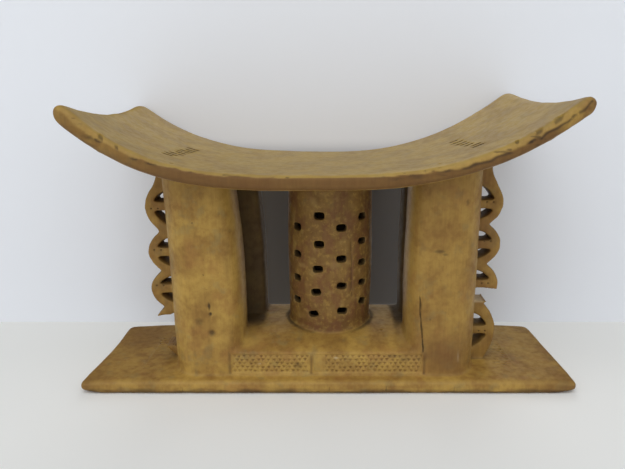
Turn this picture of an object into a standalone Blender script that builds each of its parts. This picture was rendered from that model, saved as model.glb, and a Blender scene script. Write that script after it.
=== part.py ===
"""Carved wooden stool: a curved seat on four posts and a pierced middle column.

The whole stool is carved from one block of wood, so it is one solid. A low platform
stands on the base slab. Four rounded posts and a hollow, pierced column rise from it to
the seat. At each end a thick bracket with a scalloped, pierced edge fills the slot
between the front and the back post. Two scallops are broken, and stay broken.

Units are metres, +Z is up. The origin is on the floor under the middle of the stool.
"""
import math

import bmesh
import bpy
from mathutils import Matrix, Vector

# Base slab
BASE_HALF_LENGTH = 0.2525
BASE_BACK_TAPER = 0.0025
BASE_FRONT = -0.080
BASE_BACK = 0.066
BASE_THICKNESS = 0.014
BASE_CORNER = 0.006
BASE_RIMS = (0.0045, 0.0025)
BASE_BACK_BOW = 0.009
BASE_LEFT_HOLLOW = 0.003
HOLLOW_START = 0.9
HOLLOW_SPAN = 0.9
BASE_SLICES = (12, 4)

# Seat: the two long edges are flat in the middle and sweep up to both ends.
SEAT_LEFT = -0.230
SEAT_RIGHT = 0.2185
SEAT_RIGHT_SKEW = 0.006
SEAT_HALF_DEPTH = 0.109
SEAT_THICKNESS = 0.0145
SEAT_END_SWELL = 0.15
SEAT_CORNER = 0.010
SEAT_RIMS = (0.0030, 0.0045)
SEAT_SLICES = (32, 6)
# The ends are rounded over: how far in from the end, where they are cut for it, least thickness.
SEAT_END_ROUNDING = 0.0085
SEAT_END_CUTS = (0.08, 0.3, 0.6, 1.0)
SEAT_END_THINNEST = 0.22
SEAT_DISH_MIDDLE = 0.0015
SEAT_DISH_END = 0.0095
# Each edge: x of its lowest point, height there, then (reach, lift, power) to the left and right.
FRONT_EDGE = (-0.015, 0.2264, (0.200, 0.0512, 3.5), (0.219, 0.0562, 2.9))
BACK_EDGE = (0.000, 0.2285, (0.223, 0.0550, 3.1), (0.202, 0.0625, 2.4))
RIB_RADIUS = 0.0042
RIB_HALF_LENGTH = 0.100
RIB_SINK = 0.0018
RIB_POINTS = 11
RIB_PLACES = (-0.193, 0.186)

# Platform between and under the posts
PLATFORM_FRONT = -0.067
PLATFORM_BACK = 0.064
PLATFORM_LEFT = -0.142
PLATFORM_RIGHT = 0.134
PLATFORM_EDGE_HEIGHT = 0.039
PLATFORM_CROWN = 0.0115
PLATFORM_CROWN_POWER = 2.6
PLATFORM_BACK_LIFT = 0.002
PLATFORM_CORNER = 0.004
PLATFORM_RIMS = (0.0030, 0.0005)
PLATFORM_SLICES = 9
PANEL_GROOVES = (-0.101, -0.0175, 0.098)
GROOVE_WIDTH = 0.0025
GROOVE_DEPTH = 0.0012
GROOVE_REACH = 0.8
GROOVE_MIDDLE = 0.45

# Posts: how far they stand proud of the platform, the outer and the slot face of the front and
# of the back pair, and the corner roundings (along X, along Y)
POST_PROUD = 0.0006
FRONT_POSTS = (PLATFORM_FRONT - POST_PROUD, -0.013)
BACK_POSTS = (PLATFORM_BACK + POST_PROUD, 0.010)
OUTER_ROUNDING = (0.028, 0.038)
INNER_ROUNDING = (0.016, 0.026)
SLOT_ROUNDING = (0.005, 0.005)
# Each post: inner face at the foot, how far it swells at mid height and draws back at the
# top, outer face at the foot, and how far that leans out at the top.
POSTS = {
    "front left post": (-0.0905, 0.003, 0.007, -0.162, 0.005),
    "front right post": (0.0820, 0.002, 0.001, 0.1535, 0.001),
    "back left post": (-0.0740, 0.003, 0.007, -0.162, 0.005),
    "back right post": (0.0830, 0.002, 0.001, 0.1535, 0.001),
}
POST_LEVELS = 7

# Pierced column
COLUMN_CENTRE = (0.0015, 0.006)
COLUMN_RADIUS = 0.0450
COLUMN_BELLY = 0.0012
COLUMN_WALL = 0.009
COLUMN_FLOOR = 0.056
COLUMN_SIDES = 32
COLUMN_FOOT_DRAW = 0.0022
COLUMN_FOOT_POWER = 7
COLUMN_LEVELS = 10
HOLE_WIDTH = 0.0105
HOLE_HEIGHT = 0.0068
HOLE_REACH = 0.030
HOLE_SPACING_POWER = 0.92
FRONT_HOLE_TURN = 0.55
# Rows of holes on the front: bearing at the top and at the foot, height of the top and of
# the lowest hole, how many, and the tilt of the lowest one. Bearings are from the front.
FRONT_HOLES = (
    (-52, -54, 0.1617, 0.0812, 4, 0),
    (-15, -24, 0.1757, 0.0690, 5, -14),
    (16, 18, 0.1632, 0.0731, 4, 8),
    (50, 53, 0.1728, 0.0796, 5, 16),
)
HIDDEN_ROWS = 5

# End brackets: front and back face, then for each end the X of the notches and of the
# scallop tips, and the heights of notches and tips from the seat down to the base.
BRACKET_FRONT = -0.028
BRACKET_BACK = -0.003
BRACKET_ROOT = 0.140
BRACKET_BAR = 0.010
BRACKET_RING = 0.0085
BRACKET_HOLE_SLANT = 0.008
BRACKET_HOLE_GAP = 0.003
BRACKET_TOP_HOLE_GAP = 0.012
BRACKET_HOLE_REACH = 0.024
BRACKET_HOLE_CLEAR = 0.012
SCALLOP_FULLNESS = 0.8
TOP_SCALLOP_FULLNESS = 1.7
HOLE_ROOTS = {"left bracket": 0.160, "right bracket": 0.148}
LEFT_BRACKET = (0.1755, 0.1895, (0.216, 0.157, 0.114, 0.074, 0.012), (0.184, 0.135, 0.095, 0.049))
RIGHT_BRACKET = (0.1665, 0.1803, (0.224, 0.165, 0.122, 0.078, 0.012), (0.186, 0.143, 0.100, 0.048))
ARC_STEPS = 6

# What has broken off the brackets: size along X and up, place in X and Z, turn in degrees
BREAK_DEPTH = 0.060
BREAKS = {
    "left break": ((0.040, 0.034), (-0.1850, 0.0460), -6),
    "left foot break": ((0.040, 0.060), (-0.1861, 0.0089), -44),
    "right break": ((0.040, 0.0130), (0.1770, 0.0872), 3),
}

WOOD_COLOUR = (0.30, 0.19, 0.075, 1.0)
WOOD_ROUGHNESS = 0.6
OVERLAP = 0.004


def edge_height(x, edge):
    """Height of one long edge of the seat at x."""
    lowest, height, to_left, to_right = edge
    reach, lift, power = to_right if x > lowest else to_left
    return height + lift * (abs(x - lowest) / reach) ** power


def seat_top(x, y):
    """Height of the seat's upper face: from the front edge to the back one, dished between."""
    across = y / SEAT_HALF_DEPTH
    front = edge_height(x, FRONT_EDGE)
    back = edge_height(x, BACK_EDGE)
    end = abs(x) / SEAT_RIGHT
    dish = SEAT_DISH_MIDDLE + (SEAT_DISH_END - SEAT_DISH_MIDDLE) * end ** 3
    return front + (back - front) * (across + 1) / 2 - dish * (1 - across * across)


def seat_point(x, y, below):
    """A point `below` the seat's upper face, measured square to its curve."""
    step = 0.001
    slope = (seat_top(x + step, y) - seat_top(x - step, y)) / (2 * step)
    square = Vector((-slope, 0.0, 1.0)).normalized()
    swell = 1 + SEAT_END_SWELL * min(1.0, abs(x) / SEAT_RIGHT) ** 6
    return Vector((x, y, seat_top(x, y))) - square * below * swell


def seat_middle(x, y):
    """Height inside the seat's wood, where posts and column end."""
    return seat_top(x, y) - SEAT_THICKNESS / 2


def platform_top(x, y):
    """Height of the platform: low at its front and back edge, crowned between."""
    middle = (PLATFORM_FRONT + PLATFORM_BACK) / 2
    across = (y - middle) / (PLATFORM_BACK - middle)
    back_lift = PLATFORM_BACK_LIFT * (across + 1)
    crown = PLATFORM_CROWN * (1 - abs(across) ** PLATFORM_CROWN_POWER)
    return PLATFORM_EDGE_HEIGHT + back_lift + crown


def new_object(name, bm, collection):
    """Make a named object of a finished bmesh."""
    bmesh.ops.recalc_face_normals(bm, faces=bm.faces)
    mesh = bpy.data.meshes.new(name)
    bm.to_mesh(mesh)
    bm.free()
    piece = bpy.data.objects.new(name, mesh)
    collection.objects.link(piece)
    return piece


def slice_through(bm, axis, places):
    """Cut the mesh across one axis, so that it can be bent there."""
    normal = Vector((0, 0, 0))
    normal[axis] = 1
    for place in places:
        geometry = bm.verts[:] + bm.edges[:] + bm.faces[:]
        bmesh.ops.bisect_plane(bm, geom=geometry, plane_co=normal * place, plane_no=normal)


def spaced(start, end, count):
    """Evenly spaced places strictly between start and end."""
    return [start + (end - start) * step / count for step in range(1, count)]


def rounded_slab(x_range, y_range, thickness, corner, rims):
    """A slab hanging below z = 0 with rounded corners in plan and rounded rims."""
    upper, lower = rims
    bm = bmesh.new()
    length = x_range[1] - x_range[0]
    depth = y_range[1] - y_range[0]
    centre = Vector((sum(x_range) / 2, sum(y_range) / 2, -thickness / 2))
    bmesh.ops.create_cube(bm, size=1.0, matrix=Matrix.Translation(centre)
                          @ Matrix.Diagonal((length, depth, thickness, 1.0)))
    upright = [e for e in bm.edges if abs(e.verts[0].co.z - e.verts[1].co.z) > thickness / 2]
    bmesh.ops.bevel(bm, geom=upright, offset=corner, segments=3, profile=0.5, affect="EDGES")
    for height, offset, segments in ((0.0, upper, 3), (-thickness, lower, 2)):
        rim = [e for e in bm.edges
               if all(abs(v.co.z - height) < 1e-6 for v in e.verts)
               and any(abs(f.normal.z) < 0.5 for f in e.link_faces)]
        bmesh.ops.bevel(bm, geom=rim, offset=offset, segments=segments, profile=0.5,
                        affect="EDGES")
    return bm


def make_seat(collection):
    """The seat: a flat slab with worn rims, bent to the curve of the seat."""
    bm = rounded_slab((SEAT_LEFT, SEAT_RIGHT), (-SEAT_HALF_DEPTH, SEAT_HALF_DEPTH),
                      SEAT_THICKNESS, SEAT_CORNER, SEAT_RIMS)
    slice_through(bm, 0, spaced(SEAT_LEFT, SEAT_RIGHT, SEAT_SLICES[0]))
    for cut in SEAT_END_CUTS:
        inwards = SEAT_END_ROUNDING * cut
        slice_through(bm, 0, (SEAT_LEFT + inwards, SEAT_RIGHT - inwards))
    slice_through(bm, 1, spaced(-SEAT_HALF_DEPTH, SEAT_HALF_DEPTH, SEAT_SLICES[1]))
    for vert in bm.verts:
        from_end = min(vert.co.x - SEAT_LEFT, SEAT_RIGHT - vert.co.x)
        over = min(1, max(0, 1 - from_end / SEAT_END_ROUNDING))
        thickness = max(SEAT_END_THINNEST, math.sqrt(1 - over * over))
        vert.co.z = (vert.co.z + SEAT_THICKNESS / 2) * thickness - SEAT_THICKNESS / 2
        to_front = (1 - vert.co.y / SEAT_HALF_DEPTH) / 2
        vert.co.x += SEAT_RIGHT_SKEW * to_front * max(0, vert.co.x / SEAT_RIGHT) ** 3
        vert.co = seat_point(vert.co.x, vert.co.y, -vert.co.z)
    bmesh.ops.triangulate(bm, faces=bm.faces)
    return new_object("stool", bm, collection)


def make_base(collection):
    """The base slab: flat below, hollowed a little at its left end, its back edge bowed."""
    bm = rounded_slab((-BASE_HALF_LENGTH, BASE_HALF_LENGTH), (BASE_FRONT, BASE_BACK),
                      BASE_THICKNESS, BASE_CORNER, BASE_RIMS)
    slice_through(bm, 0, spaced(-BASE_HALF_LENGTH, BASE_HALF_LENGTH, BASE_SLICES[0]))
    slice_through(bm, 1, spaced(BASE_FRONT, BASE_BACK, BASE_SLICES[1]))
    for vert in bm.verts:
        along = vert.co.x / BASE_HALF_LENGTH
        across = (vert.co.y - BASE_FRONT) / (BASE_BACK - BASE_FRONT)
        vert.co.x -= BASE_BACK_TAPER * across * along
        vert.co.y += BASE_BACK_BOW * across * (1 - abs(along) ** 6)
        if along < -HOLLOW_START:
            inwards = 1 - ((2 * across - 1) / HOLLOW_SPAN) ** 2
            vert.co.x += BASE_LEFT_HOLLOW * max(0, inwards)
        vert.co.z += BASE_THICKNESS
    bmesh.ops.triangulate(bm, faces=bm.faces)
    return new_object("base slab", bm, collection)


def make_platform(collection):
    """The low platform under posts and column, with its grooved front panel."""
    bm = rounded_slab((PLATFORM_LEFT, PLATFORM_RIGHT), (PLATFORM_FRONT, PLATFORM_BACK),
                      PLATFORM_EDGE_HEIGHT, PLATFORM_CORNER, PLATFORM_RIMS)
    slice_through(bm, 1, spaced(PLATFORM_FRONT, PLATFORM_BACK, PLATFORM_SLICES))
    foot = BASE_THICKNESS - OVERLAP
    for vert in bm.verts:
        full = vert.co.z + PLATFORM_EDGE_HEIGHT
        share = full / PLATFORM_EDGE_HEIGHT
        vert.co.z = foot + share * (platform_top(vert.co.x, vert.co.y) - foot)
    bmesh.ops.triangulate(bm, faces=bm.faces)
    return new_object("platform", bm, collection)


def rounded_outline(x_inner, x_outer, y_slot, y_face):
    """Plan of a post as points: soft corners on its face, small ones on the slot side."""
    corners = (
        (x_inner, y_face, INNER_ROUNDING),
        (x_outer, y_face, OUTER_ROUNDING),
        (x_outer, y_slot, SLOT_ROUNDING),
        (x_inner, y_slot, SLOT_ROUNDING),
    )
    centre_x = (x_inner + x_outer) / 2
    centre_y = (y_slot + y_face) / 2
    points = []
    for index, (x, y, (round_x, round_y)) in enumerate(corners):
        to_x = math.copysign(1, x - centre_x)
        to_y = math.copysign(1, y - centre_y)
        steps = ARC_STEPS if index < 2 else 2
        arc = []
        for step in range(steps + 1):
            turn = math.pi / 2 * step / steps
            arc.append((x - to_x * round_x * (1 - math.cos(turn)),
                        y - to_y * round_y * (1 - math.sin(turn))))
        points += arc[::-1] if index % 2 else arc
    return points


def loft(name, rings, collection):
    """A closed solid through a stack of rings of points."""
    bm = bmesh.new()
    rows = [[bm.verts.new(point) for point in ring] for ring in rings]
    count = len(rows[0])
    for lower, upper in zip(rows, rows[1:]):
        for index in range(count):
            following = (index + 1) % count
            bm.faces.new((lower[index], lower[following], upper[following], upper[index]))
    bm.faces.new(rows[0][::-1])
    bm.faces.new(rows[-1])
    bmesh.ops.triangulate(bm, faces=bm.faces)
    return new_object(name, bm, collection)


def make_post(name, sizes, slot, face, collection):
    """One post from inside the base slab to inside the seat, swelling at mid height."""
    inner_foot, swell, draw, outer_foot, lean = sizes
    outwards = math.copysign(1, outer_foot)
    foot = BASE_THICKNESS - 2 * OVERLAP
    rings = []
    for level in range(POST_LEVELS + 1):
        share = level / POST_LEVELS
        inner = inner_foot - outwards * swell * math.sin(math.pi * share)
        inner += outwards * draw * share ** 3
        outer = outer_foot + outwards * lean * share
        ring = []
        for x, y in rounded_outline(inner, outer, slot, face):
            ring.append((x, y, foot + share * (seat_middle(x, y) - foot)))
        rings.append(ring)
    return loft(name, rings, collection)


def turned(name, profile, collection):
    """A turned solid: a profile of (radius, height) from top to bottom, spun about Z."""
    bm = bmesh.new()
    points = [bm.verts.new((radius, 0, height)) for radius, height in profile]
    for upper, lower in zip(points, points[1:]):
        bm.edges.new((upper, lower))
    mesh = bpy.data.meshes.new(name)
    bm.to_mesh(mesh)
    bm.free()
    piece = bpy.data.objects.new(name, mesh)
    collection.objects.link(piece)
    piece.location = (*COLUMN_CENTRE, 0)
    screw = piece.modifiers.new("turn", "SCREW")
    screw.steps = COLUMN_SIDES
    screw.render_steps = COLUMN_SIDES
    screw.use_merge_vertices = True
    screw.merge_threshold = 0.0001
    return piece


def column_radius(height):
    """Outer radius of the column, a little fuller at mid height."""
    low = PLATFORM_EDGE_HEIGHT
    share = (height - low) / (seat_middle(*COLUMN_CENTRE) - low)
    drawn_in = COLUMN_FOOT_DRAW * (1 - min(1, max(0, share))) ** COLUMN_FOOT_POWER
    return COLUMN_RADIUS + COLUMN_BELLY * math.sin(math.pi * min(1, max(0, share))) - drawn_in


def make_column(collection):
    """The column's outer body, from inside the platform to inside the seat."""
    top = seat_middle(*COLUMN_CENTRE)
    foot = PLATFORM_EDGE_HEIGHT - OVERLAP
    heights = [top - (top - foot) * step / COLUMN_LEVELS for step in range(COLUMN_LEVELS + 1)]
    profile = [(0, top)] + [(column_radius(z), z) for z in heights] + [(0, foot)]
    return turned("column", profile, collection)


def make_column_hollow(collection):
    """The space inside the column, from its floor up to the seat's underside."""
    top = seat_top(*COLUMN_CENTRE) - SEAT_THICKNESS - 0.001
    radius = COLUMN_RADIUS - COLUMN_WALL
    profile = [(0, top), (radius, top), (radius, COLUMN_FLOOR), (0, COLUMN_FLOOR)]
    return turned("column hollow", profile, collection)


def box(name, size, place, collection, turn=None):
    """A plain box, for cutting."""
    bm = bmesh.new()
    bmesh.ops.create_cube(bm, size=1.0, matrix=Matrix.Diagonal((*size, 1.0)))
    spin = turn if turn else Matrix.Identity(4)
    bmesh.ops.transform(bm, verts=bm.verts, matrix=Matrix.Translation(place) @ spin)
    return new_object(name, bm, collection)


def make_column_holes(collection):
    """Rows of small square holes through the column's wall, front rows and hidden ones."""
    rows = list(FRONT_HOLES)
    gap = (360 - (FRONT_HOLES[-1][0] - FRONT_HOLES[0][0])) / (HIDDEN_ROWS + 1)
    for index in range(HIDDEN_ROWS):
        bearing = FRONT_HOLES[-1][0] + gap * (index + 1)
        pattern = FRONT_HOLES[index % 2]
        rows.append((bearing, bearing, pattern[2], pattern[3], pattern[4], 0))
    holes = []
    for row, (top_bearing, foot_bearing, top, low, count, tilt) in enumerate(rows):
        for index in range(count):
            share = index / (count - 1)
            bearing = math.radians(top_bearing + (foot_bearing - top_bearing) * share ** 2)
            height = top + (low - top) * share ** HOLE_SPACING_POWER
            out = COLUMN_RADIUS - COLUMN_WALL / 2
            place = Vector((COLUMN_CENTRE[0] + out * math.sin(bearing),
                            COLUMN_CENTRE[1] - out * math.cos(bearing), height))
            facing = bearing * FRONT_HOLE_TURN if row < len(FRONT_HOLES) else bearing
            turn = (Matrix.Rotation(facing, 4, "Z")
                    @ Matrix.Rotation(math.radians(tilt * share), 4, "Y"))
            holes.append(box(f"hole {len(holes)}", (HOLE_WIDTH, HOLE_REACH, HOLE_HEIGHT), place,
                             collection, turn))
    return holes


def scallop_edge(notch, tip, notches, tips):
    """The bracket's free edge from the seat down to the base, as (distance out, height)."""
    points = []
    for index, tip_height in enumerate(tips):
        above = notches[index]
        below = notches[index + 1]
        fullness = TOP_SCALLOP_FULLNESS if index == 0 else SCALLOP_FULLNESS
        for step in range(ARC_STEPS):
            turn = math.pi / 2 * (1 - step / ARC_STEPS)
            points.append((notch + (tip - notch) * math.cos(turn) ** fullness,
                           tip_height + (above - tip_height) * turn / (math.pi / 2)))
        for step in range(ARC_STEPS):
            turn = math.pi / 2 * step / ARC_STEPS
            points.append((notch + (tip - notch) * math.cos(turn) ** SCALLOP_FULLNESS,
                           tip_height + (below - tip_height) * turn / (math.pi / 2)))
    points.append((notch, notches[-1]))
    return points


def flat_piece(name, outline, front, back, side, collection):
    """A flat outline in the X-Z plane with the given front and back faces."""
    curve = bpy.data.curves.new(name, "CURVE")
    curve.dimensions = "2D"
    curve.fill_mode = "BOTH"
    curve.extrude = (back - front) / 2
    spline = curve.splines.new("POLY")
    spline.points.add(len(outline) - 1)
    for point, (out, height) in zip(spline.points, outline):
        point.co = (side * out, height, 0, 1)
    spline.use_cyclic_u = True
    flat = bpy.data.objects.new(name, curve)
    collection.objects.link(flat)
    flat.location = (0, (front + back) / 2, 0)
    flat.rotation_euler = (math.pi / 2, 0, 0)
    return curve_to_mesh(flat, collection)


def curve_to_mesh(source, collection):
    """Turn a curve object into a closed mesh object in the same place."""
    name = source.name
    graph = bpy.context.evaluated_depsgraph_get()
    graph.update()
    evaluated = source.evaluated_get(graph)
    mesh = bpy.data.meshes.new_from_object(evaluated)
    place = evaluated.matrix_world.copy()
    bpy.data.objects.remove(source)
    bm = bmesh.new()
    bm.from_mesh(mesh)
    bpy.data.meshes.remove(mesh)
    bmesh.ops.remove_doubles(bm, verts=bm.verts, dist=0.0001)
    bmesh.ops.triangulate(bm, faces=bm.faces)
    piece = new_object(name, bm, collection)
    piece.matrix_world = place
    return piece


def make_bracket(name, sizes, side, collection):
    """One end bracket, from behind the posts out to its scalloped edge."""
    notch, tip, notches, tips = sizes
    root_top = seat_middle(side * BRACKET_ROOT, BRACKET_FRONT)
    edge_top = seat_middle(side * notch, BRACKET_FRONT)
    outline = [(BRACKET_ROOT, root_top), (notch + 0.001, edge_top)]
    outline += scallop_edge(notch, tip, notches, tips)
    outline.append((BRACKET_ROOT, notches[-1]))
    return flat_piece(name, outline, BRACKET_FRONT, BRACKET_BACK, side, collection)


def make_bracket_holes(name, sizes, side, root, collection):
    """A three-cornered hole above and below the bar of each scallop."""
    _, tip, notches, tips = sizes
    ring = tip - BRACKET_RING
    holes = []
    for index, tip_height in enumerate(tips):
        for way, neighbour in ((1, notches[index]), (-1, notches[index + 1])):
            bar = tip_height + way * BRACKET_BAR / 2
            gap = BRACKET_TOP_HOLE_GAP if index == 0 and way > 0 else BRACKET_HOLE_GAP
            reach = min(abs(neighbour - tip_height) - gap, BRACKET_HOLE_REACH)
            far = tip_height + way * reach
            outline = ((root, bar), (ring, bar), (ring - BRACKET_HOLE_SLANT, (bar + far) / 2),
                       (root, far))
            holes.append(flat_piece(f"{name} {len(holes)}", outline,
                                    BRACKET_FRONT - BRACKET_HOLE_CLEAR,
                                    BRACKET_BACK + BRACKET_HOLE_CLEAR, side, collection))
    return holes


def make_breaks(collection):
    """What has broken off: most of the lowest left scallop, and half of one on the right."""
    middle = (BRACKET_FRONT + BRACKET_BACK) / 2
    breaks = []
    for name, ((length, height), (x, z), turn) in BREAKS.items():
        breaks.append(box(name, (length, BREAK_DEPTH, height), (x, middle, z), collection,
                          Matrix.Rotation(math.radians(turn), 4, "Y")))
    return breaks


def make_ribs(collection):
    """A low rib across the underside near each end of the seat."""
    ribs = []
    for x in RIB_PLACES:
        curve = bpy.data.curves.new("rib", "CURVE")
        curve.dimensions = "3D"
        curve.bevel_depth = RIB_RADIUS
        curve.bevel_resolution = 1
        curve.use_fill_caps = True
        spline = curve.splines.new("POLY")
        spline.points.add(RIB_POINTS - 1)
        for index, point in enumerate(spline.points):
            y = RIB_HALF_LENGTH * (2 * index / (RIB_POINTS - 1) - 1)
            point.co = (*seat_point(x, y, SEAT_THICKNESS - RIB_SINK), 1)
        rib = bpy.data.objects.new(f"rib {len(ribs)}", curve)
        collection.objects.link(rib)
        ribs.append(curve_to_mesh(rib, collection))
    return ribs


def make_panel_grooves(collection):
    """Upright grooves that part the front panel of the platform into two fields."""
    grooves = []
    height = PLATFORM_EDGE_HEIGHT - BASE_THICKNESS
    for x in PANEL_GROOVES:
        size = (GROOVE_WIDTH, 2 * GROOVE_DEPTH, height * GROOVE_REACH)
        place = (x, PLATFORM_FRONT, BASE_THICKNESS + height * GROOVE_MIDDLE)
        grooves.append(box(f"groove {len(grooves)}", size, place, collection))
    return grooves


def combine(target, tool, operation):
    """Add a Boolean modifier that joins or cuts with a guide object."""
    modifier = target.modifiers.new(f"{operation.lower()} {tool.name}", "BOOLEAN")
    modifier.operation = operation
    modifier.solver = "EXACT"
    modifier.object = tool


def wood():
    """Plain wood, oiled and handled."""
    material = bpy.data.materials.new("wood")
    material.use_nodes = True
    shader = material.node_tree.nodes["Principled BSDF"]
    shader.inputs["Base Color"].default_value = WOOD_COLOUR
    shader.inputs["Roughness"].default_value = WOOD_ROUGHNESS
    shader.inputs["Metallic"].default_value = 0.0
    return material


def main():
    for old in list(bpy.data.objects):
        bpy.data.objects.remove(old)
    parts = bpy.data.collections.new("carved stool")
    guides = bpy.data.collections.new("guides and cutters")
    for collection in (parts, guides):
        bpy.context.scene.collection.children.link(collection)

    stool = make_seat(parts)
    masses = [make_base(guides), make_platform(guides)]
    for name, sizes in POSTS.items():
        face, slot = FRONT_POSTS if name.startswith("front") else BACK_POSTS
        masses.append(make_post(name, sizes, slot, face, guides))
    masses.append(make_column(guides))
    masses += make_ribs(guides)

    brackets = (("left bracket", LEFT_BRACKET, -1), ("right bracket", RIGHT_BRACKET, 1))
    cuts = make_breaks(guides)
    for name, sizes, side in brackets:
        bracket = make_bracket(name, sizes, side, guides)
        for hole in make_bracket_holes(f"{name} hole", sizes, side, HOLE_ROOTS[name], guides):
            combine(bracket, hole, "DIFFERENCE")
        for cut in cuts:
            combine(bracket, cut, "DIFFERENCE")
        masses.append(bracket)
    for mass in masses:
        combine(stool, mass, "UNION")

    hollow = make_column_hollow(guides)
    for cutter in [hollow] + make_column_holes(guides) + make_panel_grooves(guides):
        combine(stool, cutter, "DIFFERENCE")

    for guide in guides.objects:
        guide.hide_render = True
        guide.display_type = "WIRE"
    stool.data.materials.append(wood())
    stool.data.shade_smooth()
    stool.data.set_sharp_from_angle(angle=math.radians(40))


main()
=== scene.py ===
import math
from itertools import product

import bpy
import numpy as np
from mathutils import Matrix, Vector


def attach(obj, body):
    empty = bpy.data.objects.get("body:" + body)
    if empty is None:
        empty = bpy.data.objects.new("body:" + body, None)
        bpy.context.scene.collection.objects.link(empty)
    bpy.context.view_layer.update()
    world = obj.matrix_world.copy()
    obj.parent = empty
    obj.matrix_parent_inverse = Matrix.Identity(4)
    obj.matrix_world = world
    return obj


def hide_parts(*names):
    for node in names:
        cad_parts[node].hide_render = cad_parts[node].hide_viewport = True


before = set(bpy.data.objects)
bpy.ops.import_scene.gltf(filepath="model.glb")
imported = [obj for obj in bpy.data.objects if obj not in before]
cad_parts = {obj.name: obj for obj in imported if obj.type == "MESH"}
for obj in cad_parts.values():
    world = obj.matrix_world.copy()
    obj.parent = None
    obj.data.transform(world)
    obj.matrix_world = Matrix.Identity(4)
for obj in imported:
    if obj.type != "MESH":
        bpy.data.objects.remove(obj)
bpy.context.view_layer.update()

# ---------------------------------------------------------------------- the block
# The stool is carved from one block of pale, close-grained wood, with nothing joined on.
# It was hewn with an adze, pared with a knife and rubbed down, then worn soft in use.
# Its body is covered with an even fine mesh, which every later section carves further.
MERGE_GAP = 0.00001
MESH_PITCH = 0.0011
MOST_TRIANGLES = 194000
EDGE_PASSES = 3
FACE_PASSES = 26
CRISP_SHARE, CRISP_BOX = 0.92, ((-0.052, -0.046, 0.058), (0.055, 0.060, 0.190))
SHARP_FROM, SHARP_TO = 0.02, 0.06
BAND_BOX = ((-0.260, -0.115, 0.190), (0.195, -0.095, 0.330))
WORN_ROUND, WORN_SHARP = 130, 520
DIRT_ROUND, DIRT_SHARP = 80, 430
WAVE_SIZE, WAVE_DEPTH = 0.055, 0.00045
LUMP_SIZE, LUMP_DEPTH = 0.016, 0.00016
CHIP_SIZE, CHIP_DEPTH = (0.009, 0.009, 0.006), 0.0009
# The painted layers. The finish reads all but the last, which marks fine carving to keep.
LAYERS = ("polish", "dirt_and_shade", "wear_and_highlight", "brown", "fresh", "paring", "level", "smoky", "kept")


def select_only(piece):
    """Select one piece and make it the active one."""
    bpy.ops.object.select_all(action="DESELECT")
    piece.select_set(True)
    bpy.context.view_layer.objects.active = piece


def apply_modifier(piece, kind, **settings):
    """Add a modifier to a piece and apply it at once."""
    select_only(piece)
    modifier = piece.modifiers.new(kind.title(), kind)
    for name, value in settings.items():
        setattr(modifier, name, value)
    bpy.ops.object.modifier_apply(modifier=modifier.name)


def read(collection, name, width=3, kind=np.float32):
    """One property of all of a mesh's elements, as an array."""
    values = np.empty(len(collection) * width, dtype=kind)
    collection.foreach_get(name, values)
    return values.reshape(-1, width) if width > 1 else values


def surface(piece):
    """Points and normals of a piece, as arrays."""
    vertices = piece.data.vertices
    return read(vertices, "co").astype(float), read(vertices, "normal").astype(float)


def move_to(piece, points):
    piece.data.vertices.foreach_set("co", points.astype(np.float32).ravel())
    piece.data.update()


def carve(piece, depth):
    """Push the surface in by depth, square to itself. Negative depth swells it."""
    points, normals = surface(piece)
    move_to(piece, points - normals * depth[:, None])


def paint(piece, layer, amount):
    """Add to one of the piece's painted layers, which run from 0 to 1."""
    data = piece.data.attributes[layer].data
    old = read(data, "value", 1)
    data.foreach_set("value", (1 - (1 - old) * (1 - np.clip(amount, 0, 1))).astype(np.float32))


def blend(value, low, high):
    """0 below low, 1 above high, with an easy curve between."""
    share = np.clip((value - low) / (high - low), 0, 1)
    return share * share * (3 - 2 * share)


def inside(points, low, high, soft=0.001):
    """1 inside a box and 0 outside it, fading over a soft border."""
    result = np.ones(len(points))
    for axis in range(3):
        place = points[:, axis]
        result *= blend(place, low[axis] - soft, low[axis] + soft)
        result *= 1 - blend(place, high[axis] - soft, high[axis] + soft)
    return result


def lumps(points, size, seed):
    """Smooth random lumps between -1 and 1, each about size across."""
    table = np.random.default_rng(seed).uniform(-1, 1, 32 ** 3).astype(np.float32)
    place = (points / size + 100).astype(np.float32).T
    cell = np.floor(place).astype(np.int32)
    share = place - cell
    share = share * share * (3 - 2 * share)
    step = np.array((1024, 32, 1), dtype=np.int32)[:, None]
    near, far = (cell % 32) * step, ((cell + 1) % 32) * step
    values = [table[(near, far)[i][0] + (near, far)[j][1] + (near, far)[k][2]]
              for i, j, k in product((0, 1), repeat=3)]
    for axis in range(3):
        half = len(values) // 2
        values = [low + share[axis] * (high - low) for low, high in zip(values[:half], values[half:])]
    return values[0]


def links_of(piece):
    """The two ends of every edge of a piece."""
    return read(piece.data.edges, "vertices", 2, np.int32).T


def spread(values, links, passes, strength=0.5):
    """Let each point share its values with its neighbours, a number of times."""
    first, second = links
    count = len(values)
    neighbours = np.bincount(first, minlength=count) + np.bincount(second, minlength=count)
    values = np.array(values, dtype=float)
    for column in np.atleast_2d(values.T) if values.ndim > 1 else [values]:
        for _ in range(passes):
            total = np.bincount(first, column[second], count)
            total += np.bincount(second, column[first], count)
            column += strength * (total / neighbours - column)
    return values


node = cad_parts["stool"]
stool = bpy.data.objects.new("carved_stool", node.data.copy())
bpy.context.scene.collection.objects.link(stool)
select_only(stool)
bpy.ops.object.mode_set(mode="EDIT")
bpy.ops.mesh.select_all(action="SELECT")
bpy.ops.mesh.remove_doubles(threshold=MERGE_GAP)
bpy.ops.object.mode_set(mode="OBJECT")
apply_modifier(stool, "REMESH", mode="VOXEL", voxel_size=MESH_PITCH, adaptivity=0)
for layer in LAYERS:
    stool.data.attributes.new(layer, "FLOAT", "POINT")

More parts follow.
